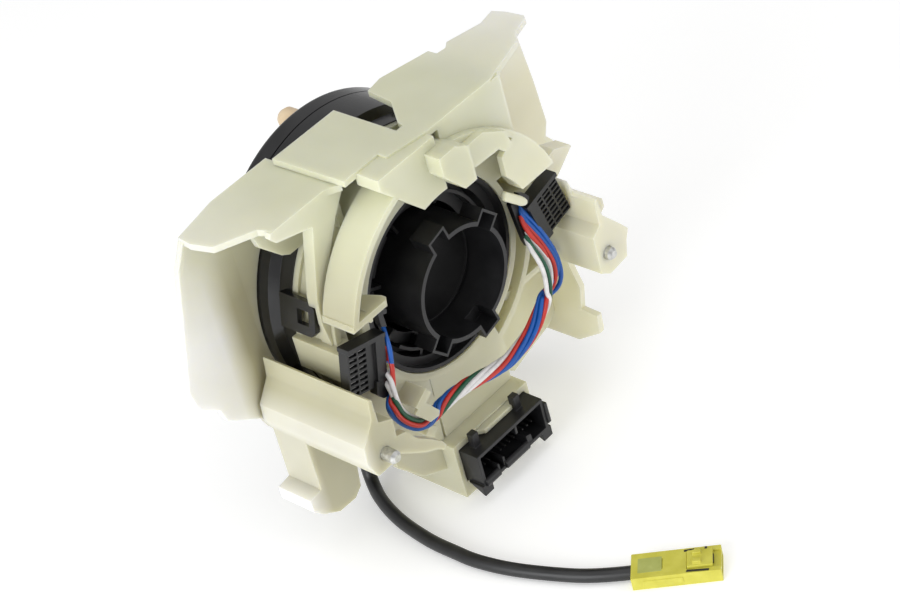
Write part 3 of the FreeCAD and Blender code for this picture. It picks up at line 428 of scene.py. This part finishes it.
# Guide ring and cancelling sleeve
# The ring that centres the reel on the column and the sleeve that trips the indicator are
# moulded in black nylon with a satin face. A thin ledge runs round inside the sleeve.
satin, satin_tree, satin_shader = mottled(
    "satin_black_nylon",
    scale=150.0,
    dark=(0.005, 0.005, 0.006),
    light=(0.013, 0.013, 0.014),
    smooth=0.34,
    rough=0.48,
)
grain(satin_tree, satin_shader, cloud(satin_tree, 2500.0), strength=0.12, depth=0.0001)
softened("guide_moulding", "guide_ring", "switch_body", satin, width=0.0003)
softened("sleeve_moulding", "cancel_sleeve", "wheel_side", satin, width=0.00045)


def ledge(name, outer, inner, front, back, body):
    """A thin turned ledge: its radii and its places along the column's axis, in millimetres."""
    turning_steps = 72
    edge_width = 0.0001
    shape = bmesh.new()
    corners = [
        shape.verts.new(Vector((radius, level, 0)) * millimetre)
        for radius, level in ((outer, front), (inner, front), (inner, back), (outer, back))
    ]
    rim = [shape.edges.new((corners[n], corners[(n + 1) % 4])) for n in range(4)]
    bmesh.ops.spin(
        shape,
        geom=corners + rim,
        cent=(0, 0, 0),
        axis=(0, 1, 0),
        angle=2 * math.pi,
        steps=turning_steps,
        use_merge=True,
    )
    bmesh.ops.recalc_face_normals(shape, faces=shape.faces)
    piece = moulded(name, shape, body, satin)
    round_edges(piece, edge_width)


ledge("sleeve_ledge", outer=20.35, inner=19.6, front=5.6, back=6.4, body="wheel_side")

# Reel
# The flat cable is wound between a fixed case and the turning face, both in polished black
# plastic, and its outlet block is part of the case.
gloss, _, _ = mottled(
    "polished_black_plastic",
    scale=90.0,
    dark=(0.006, 0.006, 0.007),
    light=(0.014, 0.014, 0.015),
    smooth=0.18,
    rough=0.3,
)
softened("stator_moulding", "stator_case", "switch_body", gloss, width=0.0003)
for part in ("rotor", "ribbon_coil", "wheel_socket"):
    dress(part, gloss)

# Drive peg
# A round peg in cream acetal drives the reel from the wheel. It is turned smooth and pressed
# into the turning face.
acetal, _, _ = mottled(
    "cream_acetal",
    scale=200.0,
    dark=(0.64, 0.48, 0.30),
    light=(0.72, 0.57, 0.38),
    smooth=0.3,
    rough=0.42,
)
dress("drive_peg", acetal)

# Screws and contacts
# The two screws that hold the housing to the column are zinc plated steel, and the contacts
# in the sockets are tinned bronze. Both are bright metal with a fine dull bloom.
zinc, _, zinc_shader = mottled(
    "zinc_plate",
    scale=900.0,
    dark=(0.5, 0.5, 0.49),
    light=(0.72, 0.72, 0.7),
    smooth=0.22,
    rough=0.42,
)
zinc_shader.inputs["Metallic"].default_value = 1.0
for part in (
    "left_column_screw",
    "right_column_screw",
    "wheel_socket_pins",
    "left_stalk_contacts",
    "right_stalk_contacts",
):
    dress(part, zinc)

# Screw threads
# The tips of the two captive screws stand out of the rails. Their steel threads are rolled at
# 0.8 mm a turn before the screws are plated.
thread_pitch = 0.0008
thread_radius = 0.00225
thread_wire = 0.0006
thread_level = -0.027
steps_a_turn = 12
# name, x, first turn, last turn along the column's axis
for name, x, start, end in (
    ("left_thread", -0.061, -0.0258, -0.0188),
    ("right_thread", 0.061, -0.0228, -0.0188),
):
    turns = (end - start) / thread_pitch
    steps = round(turns * steps_a_turn)
    route = []
    for step in range(steps + 1):
        turn = 2 * math.pi * turns * step / steps
        route.append(
            (
                x + thread_radius * math.cos(turn),
                start + (end - start) * step / steps,
                thread_level + thread_radius * math.sin(turn),
            )
        )
    thread = flex(name, route, thread_wire, zinc)
    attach(thread, "switch_body")

# Stalk connectors
# Each switch stalk plugs into a black connector clipped into the housing. Its wires leave at the
# inner edge, between the post and a thin back plate, and a catch at the foot locks it.
connector_edge = 0.0003
for side in ("left", "right"):
    softened(
        f"{side}_connector_moulding",
        f"{side}_stalk_connector",
        "switch_body",
        satin,
        width=connector_edge,
    )


def black_detail(name, outline, axis, start, end, width=connector_edge):
    """A detail moulded in satin black: its outline, drawn along an axis, in millimetres."""
    return prism(name, outline, axis, start, end, satin, "satin_black", width)


left_hook = [
    (-39.2, 16.9), (-34.9, 13.7), (-35.4, 11.8), (-37.0, 12.6), (-36.9, 7.2), (-39.3, 8.8),
    (-39.3, 13.6),
]
hook = black_detail("left_hook", left_hook, "y", -10.8, -8.0)
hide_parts("left_wire_hood")
dress("left_wire_hood", satin)
left_catch = [(-47.6, -9.6), (-42.8, -12.6), (-44.2, -18.2), (-46.9, -17.6), (-49.2, -14.2)]
black_detail("left_catch", left_catch, "y", -10.4, -6.6, width=0.0004)
right_plate = [
    (35.8, 9.3), (34.2, 8.2), (36.4, -9.4), (37.4, -12.6), (39.6, -12.4), (37.6, 7.9),
]
back_plate = black_detail("right_back_plate", right_plate, "y", -6.4, -4.0)
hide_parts("right_wire_hood")
dress("right_wire_hood", satin)
right_neck = [(36.6, 13.0), (39.6, 10.9), (41.2, 8.5), (39.9, 5.6), (37.6, 7.4), (36.0, 10.4)]
black_detail("right_neck", right_neck, "y", -9.4, -6.8)

# Harness connector
# The socket for the car's harness is a black shell with keys inside its lower wall, two rolled
# lips along the front of that wall and a guide strip on its right end.
harness_edge = 0.0004
softened(
    "harness_moulding",
    "harness_connector",
    "switch_body",
    satin,
    width=harness_edge,
)
rolled_lip = [
    (-13.2, -82.3), (-14.3, -81.8), (-14.6, -80.7), (-14.0, -79.5), (-12.8, -79.0),
    (-11.7, -79.8), (-11.6, -81.0), (-12.0, -82.0),
]
black_detail("harness_lip_right", rolled_lip, "x", -5.4, 7.4)
black_detail("harness_lip_left", rolled_lip, "x", -16.6, -9.0)
# name, outline seen from the front
harness_keys = [
    ("harness_key_left", [(-9.1, -81.2), (-8.0, -81.2), (-8.0, -78.0), (-9.1, -77.4)]),
    ("harness_key_middle", [(-5.9, -81.2), (-4.8, -81.2), (-4.8, -76.9), (-5.9, -76.3)]),
    ("harness_key_right", [(7.4, -81.2), (10.4, -81.2), (10.0, -77.6), (7.4, -77.0)]),
]
for name, outline in harness_keys:
    black_detail(name, outline, "y", -13.1, -3.0, width=0.00025)
guide_strip = [(-13.9, -70.2), (-14.1, -79.2), (-12.2, -80.6), (-9.2, -80.2), (-9.2, -70.2)]
black_detail("harness_guide_strip", guide_strip, "x", 19.0, 20.6, width=harness_edge)
dull, _, dull_shader = mottled(
    "dull_tin",
    scale=700.0,
    dark=(0.06, 0.06, 0.06),
    light=(0.13, 0.13, 0.125),
    smooth=0.45,
    rough=0.6,
)
dull_shader.inputs["Metallic"].default_value = 1.0
dress("harness_pins", dull)

# Jumper wires
# Seven thin wires in coloured vinyl join the two stalk connectors. They fan out of each
# connector's inner edge and are laid in one loose twist, held under the strap of the housing.
bundle_level = -0.0132
wire_diameter = 0.00175
# The wires lie in a ring round the bundle's middle line, and a wire that changes its place in
# the ring passes closer to the middle
wire_ring = 0.00205
late_pull = 3
least_share = 0.2
# The bundle's middle line, seen from the front: x, z and the twist so far in degrees
bundle_line = [
    (-0.0462, -0.0199, -225),
    (-0.0454, -0.0248, -220),
    (-0.0424, -0.0301, -212),
    (-0.0383, -0.0350, -195),
    (-0.0336, -0.0368, -150),
    (-0.0301, -0.0366, -70),
    (-0.0269, -0.0358, -5),
    (-0.0193, -0.0357, 45),
    (-0.0109, -0.0370, 103),
    (-0.0013, -0.0397, 165),
    (0.0071, -0.0417, 215),
    (0.0149, -0.0410, 257),
    (0.0205, -0.0394, 275),
    (0.0251, -0.0370, 292),
    (0.0298, -0.0336, 325),
    (0.0333, -0.0299, 355),
]
# Each wire from its crimp in the left connector to the bundle
left_fan = {
    "white": [
        (-0.0404, -0.0070, -0.0099), (-0.0425, -0.0100, -0.0097), (-0.0435, -0.0128, -0.0112),
        (-0.0450, -0.0146, -0.0139),
    ],
    "white_inner": [
        (-0.0420, -0.0065, -0.0125), (-0.0435, -0.0094, -0.0125), (-0.0448, -0.0120, -0.0137),
        (-0.0451, -0.0132, -0.0166),
    ],
    "red_outer": [
        (-0.0378, -0.0060, -0.0019), (-0.0385, -0.0080, -0.0031), (-0.0393, -0.0100, -0.0054),
        (-0.0404, -0.0115, -0.0077), (-0.0417, -0.0120, -0.0107), (-0.0426, -0.0120, -0.0145),
        (-0.0447, -0.0122, -0.0173), (-0.0468, -0.0128, -0.0186),
    ],
    "blue_inner": [
        (-0.0355, -0.0065, 0.0041), (-0.0366, -0.0080, 0.0037), (-0.0377, -0.0095, 0.0012),
        (-0.0385, -0.0105, -0.0018), (-0.0395, -0.0110, -0.0050), (-0.0404, -0.0108, -0.0094),
        (-0.0412, -0.0104, -0.0143), (-0.0439, -0.0112, -0.0174), (-0.0471, -0.0120, -0.0189),
    ],
    "green": [
        (-0.0405, -0.0070, -0.0125), (-0.0416, -0.0100, -0.0137), (-0.0428, -0.0116, -0.0158),
        (-0.0453, -0.0130, -0.0169),
    ],
    "blue_outer": [
        (-0.0372, -0.0045, -0.0106), (-0.0383, -0.0065, -0.0130), (-0.0403, -0.0084, -0.0158),
        (-0.0440, -0.0100, -0.0183),
    ],
    "red_inner": [
        (-0.0355, -0.0035, -0.0104), (-0.0373, -0.0055, -0.0138), (-0.0394, -0.0072, -0.0169),
        (-0.0426, -0.0094, -0.0191),
    ],
}
# Each wire from the bundle to its crimp in the right connector
right_fan = {
    "blue_outer": [
        (0.0376, -0.0104, -0.0334), (0.0403, -0.0108, -0.0334), (0.0426, -0.0114, -0.0322),
        (0.0445, -0.0118, -0.0293), (0.0451, -0.0118, -0.0247), (0.0448, -0.0114, -0.0190),
        (0.0437, -0.0108, -0.0134), (0.0423, -0.0100, -0.0082), (0.0405, -0.0090, -0.0028),
        (0.0384, -0.0080, 0.0020), (0.0381, -0.0070, 0.0046), (0.0388, -0.0060, 0.0055),
    ],
    "blue_inner": [
        (0.0361, -0.0110, -0.0298), (0.0393, -0.0112, -0.0288), (0.0425, -0.0114, -0.0278),
        (0.0441, -0.0116, -0.0245), (0.0439, -0.0114, -0.0198), (0.0426, -0.0108, -0.0147),
        (0.0411, -0.0100, -0.0096), (0.0392, -0.0092, -0.0044), (0.0375, -0.0082, 0.0000),
        (0.0373, -0.0072, 0.0029), (0.0382, -0.0062, 0.0042),
    ],
    "red_outer": [
        (0.0360, -0.0120, -0.0289), (0.0380, -0.0126, -0.0259), (0.0392, -0.0128, -0.0221),
        (0.0393, -0.0126, -0.0180), (0.0389, -0.0120, -0.0135), (0.0378, -0.0112, -0.0094),
        (0.0365, -0.0102, -0.0055), (0.0360, -0.0090, -0.0023), (0.0361, -0.0080, 0.0005),
        (0.0370, -0.0070, 0.0020),
    ],
    "red_inner": [
        (0.0362, -0.0110, -0.0312), (0.0389, -0.0114, -0.0310), (0.0410, -0.0118, -0.0288),
        (0.0421, -0.0120, -0.0252), (0.0423, -0.0118, -0.0206), (0.0414, -0.0112, -0.0158),
        (0.0402, -0.0104, -0.0111), (0.0388, -0.0094, -0.0066), (0.0373, -0.0084, -0.0022),
        (0.0371, -0.0074, 0.0009),
    ],
    "green": [
        (0.0344, -0.0144, -0.0306), (0.0354, -0.0148, -0.0265), (0.0359, -0.0148, -0.0219),
        (0.0361, -0.0142, -0.0178), (0.0356, -0.0132, -0.0137), (0.0348, -0.0118, -0.0100),
        (0.0350, -0.0100, -0.0073), (0.0358, -0.0084, -0.0055),
    ],
    "white": [
        (0.0326, -0.0152, -0.0276), (0.0334, -0.0152, -0.0238), (0.0339, -0.0150, -0.0198),
        (0.0342, -0.0142, -0.0161), (0.0338, -0.0132, -0.0125), (0.0336, -0.0118, -0.0096),
        (0.0344, -0.0100, -0.0078), (0.0355, -0.0084, -0.0066),
    ],
    "white_inner": [
        (0.0364, -0.0128, -0.0293), (0.0381, -0.0132, -0.0256), (0.0392, -0.0130, -0.0215),
        (0.0392, -0.0126, -0.0173), (0.0384, -0.0118, -0.0137), (0.0372, -0.0108, -0.0099),
        (0.0365, -0.0096, -0.0067), (0.0365, -0.0084, -0.0040),
    ],
}
blue_vinyl = (0.002, 0.085, 0.380)
red_vinyl = (0.520, 0.028, 0.018)
white_vinyl = (0.740, 0.720, 0.720)
green_vinyl = (0.006, 0.085, 0.040)
# wire, colour, its place in the ring at the left bend, along the bundle and at the right end
jumper_wires = [
    ("white", white_vinyl, (3, 3, 2)),
    ("blue_outer", blue_vinyl, (0, 0, 0)),
    ("blue_inner", blue_vinyl, (6, 6, 6)),
    ("red_inner", red_vinyl, (1, 1, 1)),
    ("green", green_vinyl, (4, 2, 3)),
    ("white_inner", white_vinyl, (2, 4, 4)),
    ("red_outer", red_vinyl, (5, 5, 5)),
]


def passed(index, first, last):
    """How far a station of the bundle is from the first to the last, from 0 to 1."""
    return min(max((index - first) / (last - first), 0), 1)


def twisted_route(places):
    """One wire's points in the bundle, carried round the middle line as the twist turns."""
    made = []
    last = len(bundle_line) - 1
    for index, (x, z, twist) in enumerate(bundle_line):
        before = bundle_line[max(index - 1, 0)]
        after = bundle_line[min(index + 1, last)]
        along = Vector((after[0] - before[0], 0, after[1] - before[1])).normalized()
        across = along.cross(Vector((0, 1, 0)))
        early = passed(index, first=3, last=5)
        late = passed(index, first=11, last=14)
        place = places[0] + (places[1] - places[0]) * early + (places[2] - places[1]) * late
        changing = early * (1 - early) * abs(places[1] - places[0])
        changing += late * (1 - late) * (places[1] > places[2]) * late_pull
        turn = math.radians(twist - place * 360 / len(jumper_wires))
        shift = across * math.cos(turn) + Vector((0, math.sin(turn), 0))
        reach = wire_ring * max(1 - changing, least_share)
        made.append(Vector((x, bundle_level, z)) + shift * reach)
    return made


for name, colour, places in jumper_wires:
    vinyl, _, _ = mottled(
        f"{name}_vinyl",
        scale=260.0,
        dark=[part * 0.85 for part in colour],
        light=[part * 1.1 for part in colour],
        smooth=0.32,
        rough=0.48,
    )
    route = left_fan[name] + twisted_route(places) + right_fan[name]
    wire = flex(f"wire_{name}_line", route, wire_diameter, vinyl)
    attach(wire, "switch_body")
    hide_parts(f"wire_{name}")
    dress(f"wire_{name}", vinyl)

# Airbag plug
# The lead ends in a flat plug moulded in yellow nylon. A lock of the same nylon slides along it
# and keeps it from coming out of the airbag.
yellow, _, yellow_shader = mottled(
    "yellow_nylon",
    scale=180.0,
    dark=(0.54, 0.50, 0.05),
    light=(0.64, 0.60, 0.09),
    smooth=0.34,
    rough=0.5,
)
yellow_shader.inputs["Subsurface Weight"].default_value = 0.15
yellow_shader.inputs["Subsurface Radius"].default_value = (1.0, 0.9, 0.3)
yellow_shader.inputs["Subsurface Scale"].default_value = 0.002
softened("plug_moulding", "plug_body", "switch_body", yellow, width=0.0006)
softened("plug_lock_moulding", "plug_lock", "lock", yellow, width=0.0003)

# The well in its face is a clearer green-yellow, and a black spring holds the lock on each side.
well, well_tree, well_shader = material("clear_yellow_nylon", (0.42, 0.45, 0.12), 0.45)
well_cloud = cloud(well_tree, 240.0)
well_tree.links.new(
    ramp(well_tree, well_cloud, [(0.3, (0.38, 0.41, 0.10)), (0.7, (0.47, 0.50, 0.15))]),
    well_shader.inputs["Base Color"],
)
# Where the lead enters the plug seen from above, which way the plug points, and the level of
# its face; the places are in millimetres
plug_place = (-21.5, -84.1)
plug_turn = math.radians(-52.51)
plug_face = -85.5


def on_plug(outline):
    """An outline drawn on the plug's face, along and across it from where the lead enters."""
    return [
        (
            plug_place[0] + a * math.cos(plug_turn) - b * math.sin(plug_turn),
            plug_place[1] + a * math.sin(plug_turn) + b * math.cos(plug_turn),
        )
        for a, b in outline
    ]


well_frame = on_plug([(2.4, -3.6), (10.8, -3.6), (10.8, 3.6), (2.4, 3.6)])
well_depth = 0.6
well_rise = 0.05
well_span = (plug_face - well_depth, plug_face + well_rise)
prism("plug_well", well_frame, "z", *well_span, well, "plug", width=0.0001)
spring_depth = 0.4
spring_rise = 0.35
spring_span = (plug_face - spring_depth, plug_face + spring_rise)
# name, outline along and across the plug
plug_springs = [
    ("plug_spring_left", [(18.6, 4.5), (22.0, 4.9), (22.2, 5.5), (18.6, 5.2)]),
    ("plug_spring_right", [(19.4, -5.6), (27.2, -5.9), (27.4, -5.2), (19.6, -4.8)]),
    ("plug_spring_end", [(28.4, -2.4), (29.0, -2.4), (29.0, 1.9), (28.4, 1.9)]),
    ("plug_spring_top", [(25.7, 4.2), (26.5, 4.2), (26.7, 5.9), (25.9, 5.9)]),
]
for name, outline in plug_springs:
    black_detail(name, on_plug(outline), "z", *spring_span, width=0.00008)
